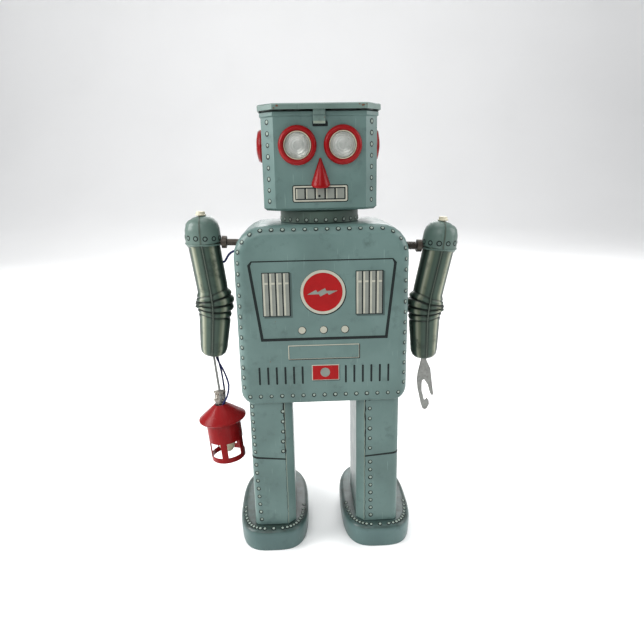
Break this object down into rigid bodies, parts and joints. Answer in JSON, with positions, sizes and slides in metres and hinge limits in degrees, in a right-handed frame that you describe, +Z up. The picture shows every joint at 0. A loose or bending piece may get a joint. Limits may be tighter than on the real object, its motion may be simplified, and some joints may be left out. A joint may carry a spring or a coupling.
{
  "type": "tin wind-up robot",
  "caption": "Tin wind-up robot with a hinged head lid, lamp eyes, swinging arms and legs, a claw hand, and a red hanging lantern on the other hand.",
  "frame": {"origin": "middle of the robot's box, on the floor under its feet", "axes": "+Z up, -Y the way the robot faces, +X towards the robot's left hand"},
  "size_m": [0.1218, 0.064, 0.197],
  "materials": {
    "teal_tin": "gloss printed tin, grey teal, lightly scratched and rust-specked",
    "arm_tin": "gloss printed tin, darker green with long light and dark stripes",
    "red_paint": "gloss red enamel",
    "lens_clear": "clear moulded lens with concentric rings",
    "bulb_glass": "yellowish white bulb glass",
    "bare_steel": "dull grey bare tinplate",
    "plated_steel": "plain plated steel, inside the body",
    "dark_steel": "dark oxidised steel",
    "brass": "stamped brass",
    "cream_tin": "cream unprinted lacquered tin",
    "wire_blue": "dark blue insulated wire",
    "cell_sleeve": "plain sleeve"
  },
  "bodies": {
    "torso": {"torso_front_shell": "teal_tin", "torso_back_shell": "teal_tin", "neck_collar": "teal_tin", "head_shell": "teal_tin", "eye_bezel_right": "red_paint", "eye_bezel_left": "red_paint", "eye_lens_right": "lens_clear", "eye_lens_left": "lens_clear", "ear_right": "red_paint", "ear_left": "red_paint", "nose_cone": "red_paint", "lamp_bracket": "plated_steel", "head_bulb": "bulb_glass", "lid_hinge_pin": "plated_steel", "battery": "cell_sleeve", "battery_holder": "plated_steel", "drive_frame": "plated_steel", "arbor_bridge": "plated_steel", "hip_bracket": "plated_steel", "hip_axle": "plated_steel", "wire_shoulder": "wire_blue"},
    "lid": {"head_lid": "teal_tin", "lid_latch": "teal_tin"},
    "door": {"battery_door": "teal_tin"},
    "switch": {"lamp_switch": "red_paint"},
    "winder": {"winding_arbor": "plated_steel", "winding_key": "bare_steel"},
    "barrel": {"mainspring_barrel": "brass", "mainspring": "plated_steel"},
    "second": {"second_wheel": "brass"},
    "crank": {"crank_axle": "plated_steel", "crank_disc_right": "plated_steel", "crank_disc_left": "plated_steel"},
    "governor_body": {"governor": "brass"},
    "pawl": {"ratchet_pawl": "plated_steel"},
    "leg_right": {"leg_shell_right": "teal_tin", "leg_lever_right": "plated_steel", "foot_right": "teal_tin"},
    "leg_left": {"leg_shell_left": "teal_tin", "leg_lever_left": "plated_steel", "foot_left": "teal_tin"},
    "roller_right": {"foot_roller_right": "dark_steel"},
    "roller_left": {"foot_roller_left": "dark_steel"},
    "arm_right": {"arm_outer_right": "arm_tin", "arm_inner_right": "arm_tin", "arm_top_tab_right": "cream_tin", "shoulder_axle_right": "dark_steel", "hand_right": "bare_steel", "wire_lantern_a": "wire_blue", "wire_lantern_b": "wire_blue"},
    "arm_left": {"arm_outer_left": "arm_tin", "arm_inner_left": "arm_tin", "arm_top_tab_left": "cream_tin", "shoulder_axle_left": "dark_steel", "shoulder_spring_left": "dark_steel", "hand_left": "bare_steel"},
    "lantern": {"lantern_roof": "red_paint", "lantern_cage": "red_paint", "lantern_bulb": "bulb_glass", "lantern_hanger": "bare_steel"}
  },
  "joints": [
    {"name": "lid_hinge", "type": "hinge", "parent": "torso", "child": "lid", "pos_m": [-0.00133, 0.01531, 0.1932], "axis": [-1, 0, 0], "range_deg": [0, 110]},
    {"name": "leg_right_swing", "type": "hinge", "parent": "torso", "child": "leg_right", "pos_m": [-0.02533, -0.00649, 0.079], "axis": [1, 0, 0], "range_deg": [-5, 5]},
    {"name": "leg_left_swing", "type": "hinge", "parent": "torso", "child": "leg_left", "pos_m": [0.02267, -0.00649, 0.079], "axis": [1, 0, 0], "range_deg": [-5, 5]},
    {"name": "arm_right_swing", "type": "hinge", "parent": "torso", "child": "arm_right", "pos_m": [-0.04409, -0.00599, 0.14189], "axis": [0.9991, 0, -0.0419], "range_deg": [-9.5, 9.5], "deforming": ["wire_shoulder"]},
    {"name": "arm_left_swing", "type": "hinge", "parent": "torso", "child": "arm_left", "pos_m": [0.04383, -0.00599, 0.13821], "axis": [0.9991, 0, -0.0419], "range_deg": [-9.5, 9.5]},
    {"name": "lantern_swing", "type": "hinge", "parent": "arm_right", "child": "lantern", "pos_m": [-0.05034, -0.00805, 0.07182], "axis": [1, 0, 0], "range_deg": [-20, 20], "deforming": ["wire_lantern_a", "wire_lantern_b"]},
    {"name": "barrel_turn", "type": "hinge", "parent": "torso", "child": "barrel", "pos_m": [-0.00133, 0.00351, 0.108], "axis": [0, 1, 0], "continuous": true},
    {"name": "second_wheel_turn", "type": "hinge", "parent": "torso", "child": "second", "pos_m": [-0.00133, -0.00649, 0.108], "axis": [1, 0, 0], "continuous": true},
    {"name": "crank_turn", "type": "hinge", "parent": "torso", "child": "crank", "pos_m": [-0.00133, -0.00649, 0.0912], "axis": [1, 0, 0], "continuous": true},
    {"name": "governor_turn", "type": "hinge", "parent": "torso", "child": "governor_body", "pos_m": [0.01067, -0.01204, 0.0957], "axis": [1, 0, 0], "continuous": true},
    {"name": "key_turn", "type": "hinge", "parent": "torso", "child": "winder", "pos_m": [-0.00133, 0.01801, 0.108], "axis": [0, 1, 0], "continuous": true},
    {"name": "pawl_lift", "type": "hinge", "parent": "torso", "child": "pawl", "pos_m": [0.00767, 0.00941, 0.1145], "axis": [0, 1, 0], "range_deg": [0, 8], "stiffness_Nm_per_rad": 0.0005},
    {"name": "roller_right_turn", "type": "hinge", "parent": "leg_right", "child": "roller_right", "pos_m": [-0.02633, 0.01201, 0.0042], "axis": [1, 0, 0], "continuous": true},
    {"name": "roller_left_turn", "type": "hinge", "parent": "leg_left", "child": "roller_left", "pos_m": [0.02367, 0.01201, 0.0042], "axis": [1, 0, 0], "continuous": true},
    {"name": "battery_door_hinge", "type": "hinge", "parent": "torso", "child": "door", "pos_m": [-0.00133, 0.01601, 0.1262], "axis": [-1, 0, 0], "range_deg": [0, 90]},
    {"name": "lamp_switch_slide", "type": "slide", "parent": "torso", "child": "switch", "axis": [1, 0, 0], "range_m": [0, 0.0045]}
  ],
  "couplings": [
    {"joint": "leg_left_swing", "follows": "leg_right_swing", "ratio": -1},
    {"joint": "arm_right_swing", "follows": "leg_right_swing", "ratio": -1.9},
    {"joint": "arm_left_swing", "follows": "leg_right_swing", "ratio": 1.9},
    {"joint": "second_wheel_turn", "follows": "barrel_turn", "ratio": -3},
    {"joint": "crank_turn", "follows": "barrel_turn", "ratio": 7.5},
    {"joint": "governor_turn", "follows": "barrel_turn", "ratio": -18.75}
  ]
}
